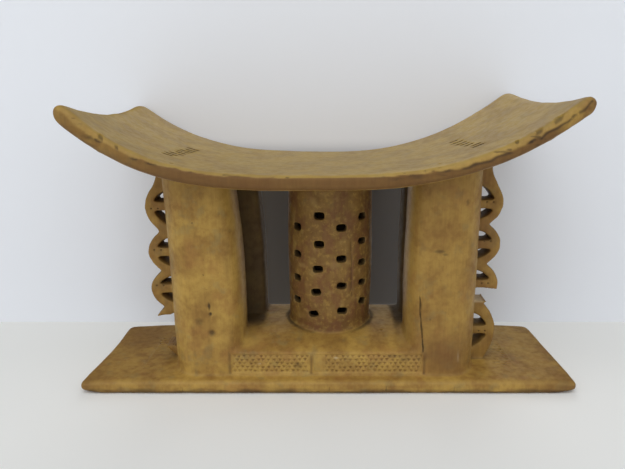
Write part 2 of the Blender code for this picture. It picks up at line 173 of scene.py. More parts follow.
# All edges are worn a little, then the broad faces lose the last facets of the CAD body.
links = links_of(stool)
points, normals = surface(stool)
crisp = 1 - CRISP_SHARE * inside(points, *CRISP_BOX, 0.003)
move_to(stool, spread(points, links, EDGE_PASSES, 0.5 * crisp))
points, normals = surface(stool)
agree = np.linalg.norm(spread(normals, links, 3), axis=1)
broad = 1 - blend(1 - agree, SHARP_FROM, SHARP_TO)
broad = spread(broad, links, 4)
move_to(stool, spread(points, links, FACE_PASSES, 0.6 * broad))

# How sharply the surface turns, as one over the radius: edges wear pale, corners hold dirt.
points, normals = surface(stool)
pull = np.sum((spread(points, links, 1, 1.0) - points) * normals, axis=1)
turn = spread(-4 * pull / MESH_PITCH ** 2, links, 3)
edge = blend(turn, WORN_ROUND, WORN_SHARP)
corner_dirt = blend(-turn, DIRT_ROUND, DIRT_SHARP)
off_floor = blend(points[:, 2], 0.0005, 0.004)

waves = WAVE_DEPTH * lumps(points, WAVE_SIZE, 1) + LUMP_DEPTH * lumps(points, LUMP_SIZE, 2)
chips = blend(lumps(points, CHIP_SIZE, 3), 0.42, 0.85) * edge
carve(stool, off_floor * (waves + CHIP_DEPTH * chips))
rubbed = 0.6 + 0.4 * lumps(points, 0.020, 4)
on_seat_band = inside(points, *BAND_BOX, 0.004)
paint(stool, "wear_and_highlight", edge * rubbed * (1 - 0.8 * on_seat_band))
paint(stool, "dirt_and_shade", 0.8 * spread(corner_dirt, links, 2) * (0.75 + 0.25 * lumps(points, 0.012, 5)))
paint(stool, "dirt_and_shade", 0.5 * blend(chips, 0.3, 0.9) * (lumps(points, 0.03, 6) > 0.1))


# ---------------------------------------------------------------------- the seat
# The curved seat is the top of the block, with a row of short strokes cut across the foot
# of each upswept end. Its upper face is rubbed to a greyish satin by sitting. Its front
# band is pared with a knife and painted brown, partly as handling and partly as painted
# shade on the face turned from the light above, under a pale line along its top edge
# that is partly wear and partly a painted highlight.
SEAT_HALF_DEPTH = 0.109
SEAT_RIGHT = 0.2185
DISH_MIDDLE, DISH_END = 0.0015, 0.0095
FRONT_EDGE = (-0.015, 0.2264, (0.200, 0.0512, 3.5), (0.219, 0.0562, 2.9))
BACK_EDGE = (0.000, 0.2285, (0.223, 0.0550, 3.1), (0.202, 0.0625, 2.4))
# Distances under the upper face: where the seat's wood ends, and where its edge layer ends
SEAT_UNDERSIDE, EDGE_LAYER = (0.0155, 0.0200), (0.003, 0.006)
STROKE_WIDTH, STROKE_DEPTH = 0.0058, 0.0026
# Each row: x and y of the front and of the back stroke, strokes, length towards the middle
STROKE_ROWS = (
    ((-0.1535, -0.053), (-0.1470, 0.021), 8, 0.013),
    ((0.1445, -0.053), (0.1355, 0.021), 7, 0.012),
)
RIM_DENTS = (
    # x, y, radius, depth
    (-0.1950, -0.108, 0.0030, 0.0012),
    (-0.1820, -0.109, 0.0022, 0.0010),
    (-0.1390, -0.098, 0.0022, 0.0009),
    (0.1000, -0.0905, 0.0026, 0.0009),
    (0.1620, -0.106, 0.0028, 0.0011),
    (0.1800, -0.108, 0.0040, 0.0013),
    (0.1960, -0.108, 0.0050, 0.0014),
    (-0.0525, 0.0275, 0.0016, 0.0004),
)
STAINED_TIP, TIP_DEPTH = ((0.198, -0.120, 0.262), (0.245, -0.060, 0.310)), 0.0005
PARED_SIZE, PARED_DEPTH = (0.035, 0.02, 0.006), 0.00022


def refine(piece, boxes):
    """Divide the faces inside the boxes once, for finer carving."""
    centres = read(piece.data.polygons, "center").astype(float)
    chosen = np.zeros(len(centres), dtype=bool)
    for low, high in boxes:
        chosen |= np.all((centres > low) & (centres < high), axis=1)
    select_only(piece)
    bpy.context.tool_settings.mesh_select_mode = (False, False, True)
    for parts in (piece.data.vertices, piece.data.edges):
        parts.foreach_set("select", np.zeros(len(parts), dtype=bool))
    piece.data.polygons.foreach_set("select", chosen)
    bpy.ops.object.mode_set(mode="EDIT")
    bpy.ops.mesh.subdivide(number_cuts=1)
    bpy.ops.object.mode_set(mode="OBJECT")


def line_profile(across, up, start, end, width):
    """1 on the line from start to end, 0 at half its width away, tapered at both ends."""
    run = np.array(end) - start
    share = ((across - start[0]) * run[0] + (up - start[1]) * run[1]) / (run @ run)
    held = np.clip(share, 0, 1)
    gap = np.hypot(across - start[0] - held * run[0], up - start[1] - held * run[1])
    taper = np.clip(np.sqrt(np.clip(4 * held * (1 - held), 0, 1)), 0.25, 1)
    return np.clip(1 - (gap / (0.5 * width * taper)) ** 2, 0, 1)


def rim_height(x, rim):
    """Height of one rim of the seat: flat at its lowest point, and swept up on both sides."""
    lowest, height, to_left, to_right = rim
    result = np.full(len(x), height)
    for side, (reach, lift, power) in ((x <= lowest, to_left), (x > lowest, to_right)):
        result[side] += lift * (np.abs(x[side] - lowest) / reach) ** power
    return result


def seat_height(x, y):
    """Height of the seat's upper face, dished between its front and its back rim."""
    across = y / SEAT_HALF_DEPTH
    front, back = rim_height(x, FRONT_EDGE), rim_height(x, BACK_EDGE)
    dish = DISH_MIDDLE + (DISH_END - DISH_MIDDLE) * (np.abs(x) / SEAT_RIGHT) ** 3
    return front + (back - front) * (across + 1) / 2 - dish * (1 - across * across)


def below_seat_top(points):
    """Distance under the seat's upper face, measured square to its curve."""
    x, y, z = points.T
    step = 0.001
    slope = (seat_height(x + step, y) - seat_height(x - step, y)) / (2 * step)
    return (seat_height(x, y) - z) / np.sqrt(1 + slope ** 2)


def under_seat(points):
    """0 in the seat's wood and 1 below it, with a soft border along its underside."""
    return blend(below_seat_top(points), *SEAT_UNDERSIDE)


stroke_boxes = []
for front, back, _, length in STROKE_ROWS:
    reach = 0.5 * length + 0.003
    stroke_boxes.append(((min(front[0], back[0]) - reach, front[1] - 0.004, 0.225),
                         (max(front[0], back[0]) + reach, back[1] + 0.004, 0.300)))
dent_boxes = [((x - 2 * radius, y - 2 * radius, 0.220), (x + 2 * radius, y + 2 * radius, 0.300))
              for x, y, radius, _ in RIM_DENTS]
refine(stool, stroke_boxes + dent_boxes)

points, normals = surface(stool)
x, y, z = points.T
depth_in_seat = below_seat_top(points)
in_seat = 1 - under_seat(points)
edge_layer = 1 - blend(depth_in_seat, *EDGE_LAYER)
on_top = blend(normals[:, 2], 0.35, 0.75) * edge_layer
on_band = in_seat * blend(-normals[:, 1], 0.35, 0.75) * blend(-y, 0.095, 0.102)

strokes = np.zeros(len(points))
cutter = np.random.default_rng(11)
for front, back, count, length in STROKE_ROWS:
    for number in range(count):
        share = number / (count - 1)
        middle = np.array(front) * (1 - share) + np.array(back) * share
        middle += cutter.uniform(-0.0012, 0.0012, 2)
        lean = cutter.uniform(-0.0016, 0.0006)
        half = 0.5 * length * cutter.uniform(0.8, 1.1)
        force = cutter.uniform(0.7, 1.0)
        split = cutter.uniform(0.1, 0.5)
        for start, end in ((-1, split), (split - 0.25, 1)):
            one = line_profile(x, y, middle + np.array((start * half, -start * lean)),
                               middle + np.array((end * half, -end * lean)), STROKE_WIDTH)
            strokes = np.maximum(strokes, force * one)
strokes *= on_top

near_rim = in_seat * edge_layer
dents = np.zeros(len(points))
dent_depth = np.zeros(len(points))
for dent_x, dent_y, radius, depth in RIM_DENTS:
    ragged = radius * (1 + 0.35 * lumps(points, 0.0025, 12))
    one = blend(1 - np.hypot(x - dent_x, (y - dent_y) * 0.8) / ragged, 0, 0.7) * near_rim
    dents = np.maximum(dents, one)
    dent_depth = np.maximum(dent_depth, one * depth)

tip = inside(points, *STAINED_TIP, 0.006) * blend(-normals[:, 1], -0.3, 0.4)
rough_tip = tip * (0.5 + 0.5 * lumps(points, 0.0045, 13))
facets = PARED_DEPTH * lumps(points, PARED_SIZE, 14) * on_band
carve(stool, STROKE_DEPTH * strokes + dent_depth + facets + TIP_DEPTH * rough_tip)

# The pale rim along the top of the front band is partly wear and partly a painted highlight on its
# rounded edge.
rim_width = 0.0024 + 0.0038 * blend(x, 0.020, 0.160) + 0.0040 * blend(-x, 0.130, 0.215)
rim_width += 0.0013 * lumps(points, (0.007, 1, 0.007), 73) * blend(np.abs(x), 0.010, 0.090)
front_face = on_band + (1 - on_band) * blend(-y, 0.1055, 0.1075)
pale_rim_and_highlight = (1 - blend(depth_in_seat, 0.75 * rim_width, 1.15 * rim_width)) * in_seat * front_face
crust = np.exp(-((depth_in_seat - 1.15 * rim_width) / 0.0011) ** 2) * in_seat * front_face
crust *= blend(lumps(points, (0.006, 1, 0.004), 74) + 0.5 * blend(x, 0.05, 0.15), 0.15, 0.6)
crust *= blend(np.abs(x + 0.02), 0.030, 0.120)
underside = in_seat * blend(-normals[:, 2], 0.3, 0.8)
paint(stool, "polish", on_top * (0.85 + 0.15 * lumps(points, 0.03, 15)))
paint(stool, "dirt_and_shade", 0.96 * blend(strokes, 0.0, 0.06) + 0.65 * dents)
# The front band is painted brown: partly handling, partly painted shade on the face turned from the
# light above.
handled_and_shaded_band = 0.50 + 0.47 * blend(x, -0.200, -0.130) + 0.08 * lumps(points, (0.030, 1, 0.004), 19)
handled_and_shaded_band *= on_band
paint(stool, "brown", handled_and_shaded_band * (1 - 0.85 * np.maximum(pale_rim_and_highlight, tip)) + 0.3 * underside)
speckle = lumps(points, (0.006, 1, 0.0022), 20) + 0.5 * lumps(points, (0.03, 1, 1), 29)
flecks = on_band * blend(speckle, 0.75, 1.1)
paint(stool, "dirt_and_shade", 0.6 * flecks + 0.75 * crust + 0.10 * on_band)
paint(stool, "brown", 0.75 * tip * blend(lumps(points, 0.010, 16) + 0.6 * lumps(points, 0.0035, 17),
                                         -0.1, 0.6))
paint(stool, "paring", on_band)
paint(stool, "wear_and_highlight", 0.62 * pale_rim_and_highlight * (0.7 + 0.3 * lumps(points, 0.010, 18)))
paint(stool, "kept", 2 * blend(strokes, 0.0, 0.03) + dents + blend(crust + pale_rim_and_highlight * on_band, 0.3, 0.5))


# ---------------------------------------------------------------------- the posts
# Four rounded posts carry the seat, pared to soft corners and left a little uneven.
# Their faces are a mottled honey colour, with a drying crack in the right front one
# and small nicks, dents and spots from use. Painted shade browns their tops under the
# seat and darkens the slot between front and back posts.
LEFT_POSTS = ((-0.180, -0.072, 0.030), (-0.070, 0.070, 0.260))
RIGHT_POSTS = ((0.072, -0.072, 0.030), (0.160, 0.070, 0.260))
CRACK = ((0.0911, 0.100), (0.0925, 0.075), (0.0948, 0.055), (0.0963, 0.040))
CRACK_BOX = ((0.0880, -0.070, 0.038), (0.0995, -0.058, 0.103))
CRACK_WIDTH, CRACK_DEPTH = 0.0021, 0.0014
NICKS = (
    # x, z, radius across, radius up, depth, dirt
    (-0.1190, 0.0900, 0.0018, 0.0062, 0.0009, 0.9),
    (-0.1180, 0.0820, 0.0026, 0.0030, 0.0009, 0.95),
    (-0.1175, 0.0616, 0.0046, 0.0046, 0.0011, 0.75),
    (-0.1299, 0.0735, 0.0060, 0.0064, 0.0003, 0.40),
    (-0.1312, 0.1751, 0.0011, 0.0011, 0.0004, 0.7),
    (-0.1233, 0.1228, 0.0012, 0.0014, 0.0004, 0.7),
    (0.1085, 0.1465, 0.0080, 0.0026, 0.0004, 0.60),
    (0.1140, 0.1435, 0.0040, 0.0022, 0.0003, 0.50),
    (0.1332, 0.1950, 0.0024, 0.0046, 0.0003, 0.45),
    (0.1020, 0.0760, 0.0010, 0.0018, 0.0003, 0.5),
)
SMUDGES = (
    # x, z, radius across, radius up, strength
    (0.1180, 0.0330, 0.0360, 0.0300, 1.00),
    (0.1100, 0.0470, 0.0160, 0.0110, 0.35),
    (-0.1250, 0.0930, 0.0200, 0.0300, 0.25),
    (0.1300, 0.1200, 0.0250, 0.0350, 0.22),
    (-0.1400, 0.2050, 0.0300, 0.0120, 0.35),
    (-0.1000, 0.1350, 0.0070, 0.0300, 0.40),
    (0.1200, 0.2100, 0.0300, 0.0140, 0.30),
    (-0.1420, 0.1300, 0.0120, 0.0100, 0.25),
)


def spot(across, up, middle, radii):
    """1 in an oval spot and 0 outside it, with a soft border."""
    return blend(1 - np.hypot((across - middle[0]) / radii[0], (up - middle[1]) / radii[1]), 0, 0.8)


nick_boxes = [((x0 - 2 * wide, -0.070, z0 - 1.6 * tall), (x0 + 2 * wide, -0.055, z0 + 1.6 * tall))
              for x0, z0, wide, tall, _, _ in NICKS]
refine(stool, nick_boxes + [CRACK_BOX])

points, normals = surface(stool)
x, y, z = points.T
depth_in_seat = below_seat_top(points)
below_seat = under_seat(points)
on_post = below_seat * inside(points, *LEFT_POSTS, 0.003)
on_post += below_seat * inside(points, *RIGHT_POSTS, 0.003)
faces_front = blend(-normals[:, 1], 0.2, 0.6)

crack = np.zeros(len(points))
wander = x + 0.0007 * lumps(points, (0.01, 0.01, 0.005), 21)
for start, end in zip(CRACK[:-1], CRACK[1:]):
    crack = np.maximum(crack, line_profile(wander, z, start, end, CRACK_WIDTH))
crack *= faces_front
nick_depth, nick_dirt = np.zeros(len(points)), np.zeros(len(points))
for x0, z0, wide, tall, depth, dirt in NICKS:
    one = spot(x + 0.0004 * lumps(points, 0.002, 22), z, (x0, z0), (wide, tall)) * faces_front
    nick_depth = np.maximum(nick_depth, depth * one)
    nick_dirt = np.maximum(nick_dirt, dirt * one)
smudge = np.zeros(len(points))
for x0, z0, wide, tall, strength in SMUDGES:
    one = spot(x, z, (x0, z0), (wide, tall)) * faces_front
    smudge = np.maximum(smudge, strength * one * (0.7 + 0.3 * lumps(points, 0.006, 23)))

inner_faces = on_post * (1 - faces_front) * blend(y, -0.06, -0.03)
scoops = 0.00030 * lumps(points, (0.012, 0.012, 0.022), 24) * on_post
scoops += 0.00025 * lumps(points, (0.006, 0.006, 0.030), 25) * inner_faces
carve(stool, scoops + CRACK_DEPTH * crack + nick_depth)
paint(stool, "dirt_and_shade", blend(crack, 0, 0.4) * (0.65 + 0.35 * lumps(points, 0.005, 27)) + nick_dirt)
paint(stool, "kept", blend(crack, 0.05, 0.2) + blend(nick_dirt, 0.02, 0.1))
inner_round = on_post * (1 - faces_front) * blend(y, -0.066, -0.060) * (1 - blend(y, -0.046, -0.034))
paint(stool, "wear_and_highlight", 0.40 * inner_round * (np.abs(x) < 0.11))
paint(stool, "brown", smudge + 0.12 * inner_faces)
# Painted shade: the tops of the posts' front faces, just under the seat's overhang, are browned.
seat_overhang_shade = on_post * blend(-depth_in_seat, -0.045, -0.018) * faces_front
paint(stool, "brown", 0.28 * seat_overhang_shade * (0.7 + 0.3 * lumps(points, 0.015, 26)))
right_side = blend(x, 0.060, 0.075) * blend(z, 0.013, 0.018)
foot = (1 - blend(z, 0.040, 0.075)) * faces_front * blend(x, 0.095, 0.105)
low_post = on_post * faces_front * (1 - blend(z, 0.050, 0.085))
paint(stool, "brown", 0.25 * right_side * on_post + 0.25 * foot * right_side + 0.10 * low_post)
# Painted shade: the faces in the slot between front and back posts are painted near-black, standing in
# for the shade there.
slot_shade = on_post * blend(y, -0.036, -0.008) * (1 - blend(y, 0.048, 0.062)) * (np.abs(x) < 0.150)
paint(stool, "dirt_and_shade", 0.95 * slot_shade * (0.92 + 0.08 * lumps(points, 0.02, 28)))


# ---------------------------------------------------------------------- the column
# The middle column is hollow, with rows of small oblong windows cut through its wall.
# It stands back in the shade, and its skin is painted redder and darker than the posts,
# partly its own tone and partly painted shade, more so towards the bottom. It is scratched
# over with fine slanting lines and paler at the window rims, and its hollow and window
# walls are painted near-black as painted shade.
COLUMN_X, COLUMN_Y = 0.0015, 0.006
COLUMN_RADIUS = 0.0450
SCRATCH_SIZE, SCRATCH_SLANT, SCRATCH_DEPTH = (0.020, 1, 0.0024), 0.35, 0.00022
FLUTE_SIZE, FLUTE_DEPTH = (0.010, 1, 0.030), 0.00035
# The drying check's two ends: distance round from the front, and height
CHECK = ((0.0235, 0.088), (0.0225, 0.148))
CHECK_WIDTH, CHECK_DEPTH = 0.0012, 0.0008

points, normals = surface(stool)
x, y, z = points.T
from_axis = np.hypot(x - COLUMN_X, y - COLUMN_Y)
outwards = ((x - COLUMN_X) * normals[:, 0] + (y - COLUMN_Y) * normals[:, 1]) / from_axis
around = np.arctan2(x - COLUMN_X, -(y - COLUMN_Y)) * COLUMN_RADIUS
on_column = (1 - blend(from_axis, 0.048, 0.051)) * blend(z, 0.047, 0.052)
on_column *= under_seat(points)
outer_skin = on_column * blend(outwards, 0.5, 0.9)
hollow = on_column * (1 - blend(from_axis, COLUMN_RADIUS - 0.0045, COLUMN_RADIUS - 0.0015))
unrolled = np.stack((around, np.zeros(len(x)), z), axis=1)
slant = np.array(((1, 0, SCRATCH_SLANT), (0, 1, 0), (-SCRATCH_SLANT, 0, 1)))
scratches = SCRATCH_DEPTH * lumps(unrolled @ slant, SCRATCH_SIZE, 31)
flutes = FLUTE_DEPTH * lumps(unrolled, FLUTE_SIZE, 33)
check = line_profile(around + 0.0006 * lumps(points, 0.006, 32), z, *CHECK, CHECK_WIDTH) * outer_skin
carve(stool, scratches * outer_skin + CHECK_DEPTH * check + flutes * outer_skin)
# The skin's brown is partly its own tone and partly painted shade, more towards the bottom.
low_column = 1 - blend(z, 0.060, 0.120)
skin_tone_and_shade = 0.66 + 0.20 * lumps(points, 0.013, 34) + 0.14 * lumps(points, 0.005, 35) + 0.16 * low_column
paint(stool, "brown", outer_skin * skin_tone_and_shade)
paint(stool, "smoky", outer_skin)
# Painted shade darkens the hollow, the window walls and a little of the skin; the check holds dirt.
window_walls = on_column * (1 - blend(outwards, 0.35, 0.70))
paint(stool, "dirt_and_shade", 0.85 * np.maximum(hollow, window_walls) + 0.5 * check + 0.14 * outer_skin)
rubbed = blend(lumps(points, 0.0045, 36) + 0.4 * lumps(points, 0.016, 37), 0.35, 0.9)
paint(stool, "wear_and_highlight", 0.55 * outer_skin * rubbed)


# ---------------------------------------------------------------------- the platform
# The low platform rises from the base under posts and column. Its front and back are
# cut into two sunk fields, filled with staggered rows of triangular punch marks that
# are partly worn away. Dirt fills the marks and the grooves between the fields.
PANEL_FRONT, PANEL_BACK = -0.067, 0.064
FIELD_LOW, FIELD_HIGH = 0.0172, 0.0376
FIELDS = ((-0.0990, -0.0195), (-0.0152, 0.0958))
FIELD_SINK = 0.0009
MARK_PITCH, MARK_ROW, MARK_SIZE, MARK_DEPTH = 0.0054, 0.0041, 0.0031, 0.0010
GROOVES, GROOVE_WIDTH = (-0.101, -0.0175, 0.098), 0.0024
BARE_PATCH = ((-0.016, -1, 0), (-0.003, 1, 0.05))
GAP_FLOOR = ((-0.140, -0.062, 0.036), (0.132, 0.060, 0.056))
WORM_HOLES = (
    # x, y, radius
    (0.0570, -0.0313, 0.0016),
    (-0.0700, 0.0150, 0.0013),
)
WORM_HOLE_BOX = ((0.053, -0.036, 0.045), (0.061, -0.027, 0.055))
SMEARS = (
    # x, z, radius across, radius up, strength
    (-0.0312, 0.0255, 0.006, 0.0045, 1.0),
    (0.0660, 0.0355, 0.012, 0.0028, 0.8),
    (0.0780, 0.0318, 0.007, 0.0030, 0.8),
)
PALE_FLECKS = (
    # x, z, radius
    (0.0071, 0.0334, 0.0020),
    (-0.0706, 0.0273, 0.0010),
    (0.1322, 0.0359, 0.0011),
)


def punched(across, up, pitch, row, size, seed):
    """Depth, 0 to 1, of staggered rows of small triangular pits, each a little out of place."""
    table = np.random.default_rng(seed).uniform(-1, 1, (4, 64, 64))
    line = np.floor(up / row).astype(int)
    shifted = across / pitch + 0.5 * (line % 2)
    column = np.floor(shifted).astype(int)
    off_x, off_y, force, twist = table[:, line % 64, column % 64]
    local_x = (shifted - column - 0.5) * pitch - 0.16 * pitch * off_x
    local_y = up - (line + 0.5) * row - 0.14 * row * off_y
    reach = np.full(len(across), -1.0)
    for third in range(3):
        angle = math.radians(90 + 120 * third) + 0.25 * twist
        reach = np.maximum(reach, local_x * np.cos(angle) + local_y * np.sin(angle))
    return blend(1 - reach / (0.5 * size), 0, 0.75) * (0.8 + 0.2 * force)


panel_boxes = [((-0.101, face_y - 0.003, FIELD_LOW - 0.001), (0.098, face_y + 0.003, FIELD_HIGH + 0.002))
               for face_y in (PANEL_FRONT, PANEL_BACK)]
refine(stool, panel_boxes + [WORM_HOLE_BOX])

points, normals = surface(stool)
x, y, z = points.T
marks, fields = np.zeros(len(points)), np.zeros(len(points))
for face_y, turned in ((PANEL_FRONT, -1), (PANEL_BACK, 1)):
    faces_out = blend(turned * normals[:, 1], 0.55, 0.85) * (np.abs(y - face_y) < 0.004)
    for left, right in FIELDS:
        field = faces_out * inside(points, (left, -1, FIELD_LOW), (right, 1, FIELD_HIGH), 0.0007)
        inner = inside(points, (left + 0.001, -1, FIELD_LOW + 0.001),
                       (right - 0.001, 1, FIELD_HIGH - 0.0005), 0.0007)
        worn = blend(lumps(points, (0.022, 1, 0.009), 41) + 0.25 * turned, 0.1, 0.7)
        one = punched(x - left, z - FIELD_LOW, MARK_PITCH, MARK_ROW, MARK_SIZE, 42)
        marks = np.maximum(marks, faces_out * inner * one * (1 - 0.75 * worn))
        fields = np.maximum(fields, field)
marks *= 1 - 0.9 * inside(points, *BARE_PATCH, 0.002)
on_floor_of_gap = inside(points, *GAP_FLOOR, 0.003) * blend(normals[:, 2], 0.6, 0.9)
holes = np.zeros(len(points))
for x0, y0, radius in WORM_HOLES:
    holes = np.maximum(holes, spot(x, y, (x0, y0), (radius, radius)) * blend(normals[:, 2], 0.5, 0.8))
grooves = np.zeros(len(points))
half = 0.5 * GROOVE_WIDTH
for groove_x in GROOVES:
    grooves = np.maximum(grooves, inside(points, (groove_x - half, -0.069, 0.016),
                                         (groove_x + half, -0.060, 0.040), 0.0008))
smears = sum(strength * spot(x, z, (x0, z0), (wide, tall)) for x0, z0, wide, tall, strength in SMEARS)
smears *= blend(-normals[:, 1], 0.4, 0.7) * (y < -0.06)
flecks = np.zeros(len(points))
for x0, z0, radius in PALE_FLECKS:
    flecks = np.maximum(flecks, spot(x, z, (x0, z0), (radius, radius)))
flecks *= (y < -0.06) * (normals[:, 1] < -0.4)
carve(stool, FIELD_SINK * fields + MARK_DEPTH * marks + 0.002 * holes
      + 0.0003 * lumps(points, (0.030, 0.012, 0.03), 43) * on_floor_of_gap)
paint(stool, "dirt_and_shade", 0.26 * marks + 0.95 * holes + 0.30 * grooves + 0.5 * smears)
paint(stool, "brown", 0.5 * marks + 0.4 * grooves)
paint(stool, "wear_and_highlight", 0.25 * fields * (1 - marks))
paint(stool, "fresh", flecks)


# ---------------------------------------------------------------------- the brackets
# A thick bracket fills the slot between front and back post at each end. Its edge is
# cut in scallops, each pierced by two openings with a bar between, and the bar has two
# small punched dots. Each bracket is broken in one place, where the wood is rough.
BRACKET_FRONT, BRACKET_BACK = -0.028, -0.003
BRACKET_SPANS = ((-0.215, -0.1665), (0.1545, 0.205))
BRACKET_BOTTOM, BRACKET_TOP = 0.0145, 0.240
DOT_RADIUS, DOT_DEPTH = 0.0014, 0.0011
SPLINTER_DEPTH = 0.0011
LEFT_DOTS = ((-0.1750, -0.1822), (0.1815, 0.1375, 0.0985))
RIGHT_DOTS = ((0.1625, 0.1692), (0.1885, 0.1470, 0.1010, 0.0468))
LEFT_BREAK = ((-0.186, -0.032, 0.020), (-0.168, 0.002, 0.064))
RIGHT_BREAK = ((0.156, -0.032, 0.076), (0.176, 0.002, 0.096))
LEFT_STUB = ((-0.190, -0.032, 0.016), (-0.1635, 0.002, 0.052))
SPLINTER = ((0.154, -0.032, 0.080), (0.166, 0.002, 0.0955))

dot_places = [(x0, z0) for xs, zs in (LEFT_DOTS, RIGHT_DOTS) for x0 in xs for z0 in zs]
dot_boxes = [((x0 - 0.003, BRACKET_FRONT - 0.002, z0 - 0.003),
              (x0 + 0.003, BRACKET_FRONT + 0.002, z0 + 0.003)) for x0, z0 in dot_places]
refine(stool, dot_boxes + [LEFT_BREAK, RIGHT_BREAK])

points, normals = surface(stool)
x, y, z = points.T
on_bracket = sum(inside(points, (left, BRACKET_FRONT - 0.002, BRACKET_BOTTOM),
                        (right, BRACKET_BACK + 0.002, BRACKET_TOP)) for left, right in BRACKET_SPANS)
on_bracket *= under_seat(points)
front_cheek = blend(-normals[:, 1], 0.6, 0.85)
back_cheek = blend(normals[:, 1], 0.6, 0.85)
dots = np.zeros(len(points))
for place in dot_places:
    dots = np.maximum(dots, spot(x, z, place, (DOT_RADIUS, DOT_RADIUS)))
dots *= front_cheek * on_bracket
broken = (inside(points, *LEFT_BREAK, 0.002) + inside(points, *RIGHT_BREAK, 0.002)) * on_bracket
broken *= 1 - np.maximum(front_cheek, back_cheek)
splinters = SPLINTER_DEPTH * np.abs(lumps(points, (0.0022, 0.006, 0.006), 51)) * broken
unevenness = 0.0003 * lumps(points, (0.006, 0.03, 0.006), 52) * on_bracket
carve(stool, DOT_DEPTH * dots + splinters + unevenness)
through_faces = on_bracket * (1 - np.maximum(front_cheek, back_cheek))
paint(stool, "dirt_and_shade", 0.8 * dots + 0.42 * through_faces * (1 - broken))
paint(stool, "brown", on_bracket * (0.42 + 0.2 * lumps(points, 0.010, 53)))
paint(stool, "brown", 0.65 * inside(points, *LEFT_STUB, 0.002) * (0.8 + 0.2 * lumps(points, 0.004, 54)))
paint(stool, "fresh", 0.5 * inside(points, *SPLINTER, 0.0015) * on_bracket + 0.06 * broken)


# ---------------------------------------------------------------------- the base
# The base slab is the foot of the block, flat below. Beside each bracket lies a band of
# worn punch marks behind a faint cut line. Its front edge is rounded by handling, with
# dirt, a painted contact shadow and small bruises along the bottom, and its ends are browner.
BASE_THICKNESS = 0.014
CORNER_LIFT, CORNER_WEAR = 0.0036, 0.0020
BAND_FRONT, BAND_BACK = -0.050, 0.028
BANDS = ((-0.1985, -0.1800, -0.1965), (0.1760, 0.1975, 0.1990))
BAND_SPANS = ((-0.202, -0.170), (0.168, 0.202))
BAND_PITCH, BAND_MARK = 0.0062, 0.0042
END_CHECKS = (0.0005, 0.0580, -0.1480, 0.1270)

refine(stool, [((left, BAND_FRONT - 0.002, 0.010), (right, BAND_BACK + 0.002, 0.018))
               for left, right in BAND_SPANS])
refine(stool, [((x0 - 0.003, -0.084, 0.002), (x0 + 0.003, -0.072, 0.016)) for x0 in END_CHECKS])

points, normals = surface(stool)
x, y, z = points.T
corners = blend(np.abs(x), 0.228, 0.252) * blend(-y, 0.052, 0.080)
height = np.clip(z / BASE_THICKNESS, 0, 1)
points[:, 2] += corners * (CORNER_LIFT * (1 - height) - CORNER_WEAR * height) * (z < 0.02)
move_to(stool, points)
points, normals = surface(stool)
x, y, z = points.T
on_base = 1 - blend(z, 0.0150, 0.0170)
base_top = on_base * blend(normals[:, 2], 0.6, 0.9) * blend(z, 0.010, 0.012)
marks, border = np.zeros(len(points)), np.zeros(len(points))
for left, right, line_x in BANDS:
    field = inside(points, (left, BAND_FRONT, 0.010), (right, BAND_BACK, 0.020), 0.001)
    worn = blend(lumps(points, (0.014, 0.018, 1), 61), -0.5, 0.35)
    one = punched(x - left, y - BAND_FRONT, BAND_PITCH, BAND_PITCH, BAND_MARK, 62)
    marks = np.maximum(marks, field * one * (1 - 0.85 * worn))
    border = np.maximum(border, line_profile(x + 0.0004 * lumps(points, 0.01, 63), y,
                                             (line_x, BAND_FRONT), (line_x, BAND_BACK), 0.0022))
marks, border = marks * base_top, border * base_top
front_edge = on_base * blend(-normals[:, 1], 0.3, 0.7) * blend(-y, 0.070, 0.074)
# Along the bottom of the front edge, dirt and a painted contact shadow darken a ragged band.
ragged_line = 0.0064 + 0.0020 * lumps(points, (0.012, 1, 1), 67)
ground_dirt_and_shadow = front_edge * (1 - blend(z, 0.5 * ragged_line, ragged_line))
ground_dirt_and_shadow *= 0.7 + 0.3 * lumps(points, (0.010, 1, 1), 64)
streaks = lumps(points, (0.022, 1, 0.0021), 68) + 0.4 * lumps(points, (0.05, 1, 1), 69)
streaks = front_edge * blend(streaks, 0.2, 0.8)
top_round = on_base * blend(-y, 0.0735, 0.0765) * blend(normals[:, 2], 0.25, 0.6)
spots = blend(lumps(points, 0.0035, 70) + 0.5 * lumps(points, 0.030, 71), 0.85, 1.15) * on_base
checks = np.zeros(len(points))
for x0 in END_CHECKS:
    checks = np.maximum(checks, line_profile(x, z, (x0, 0.003), (x0 + 0.0004, 0.009), 0.0012))
checks *= front_edge
lowest = points[:, 2] < 0.0004
depth = 0.0008 * marks + 0.0004 * border + 0.0006 * checks
depth += 0.0004 * front_edge * np.clip(lumps(points, (0.018, 1, 0.005), 65), 0, 1)
carve(stool, np.where(lowest, 0, depth))
ends = on_base * blend(np.abs(x), 0.150, 0.235)
back_left = on_base * blend(-x, 0.140, 0.200) * blend(y, -0.040, 0.040)
paint(stool, "dirt_and_shade", 0.45 * marks + 0.12 * border + 0.85 * ground_dirt_and_shadow + 0.35 * checks + 0.5 * spots)
end_tone = ends * (0.36 + 0.26 * lumps(points, 0.022, 66))
paint(stool, "brown", end_tone + 0.30 * back_left + 0.45 * streaks)
paint(stool, "brown", 0.35 * corners)
paint(stool, "wear_and_highlight", 0.4 * border * (1 - marks))
paint(stool, "wear_and_highlight", 0.30 * top_round * (0.7 + 0.3 * lumps(points, (0.02, 1, 1), 72)))
paint(stool, "brown", 0.4 * on_base * blend(-normals[:, 2], 0.5, 0.8))

paint(stool, "level", blend(np.abs(normals[:, 2]), 0.55, 0.90))
paint(stool, "kept", blend(ground_dirt_and_shadow + 0.5 * checks, 0.1, 0.3))

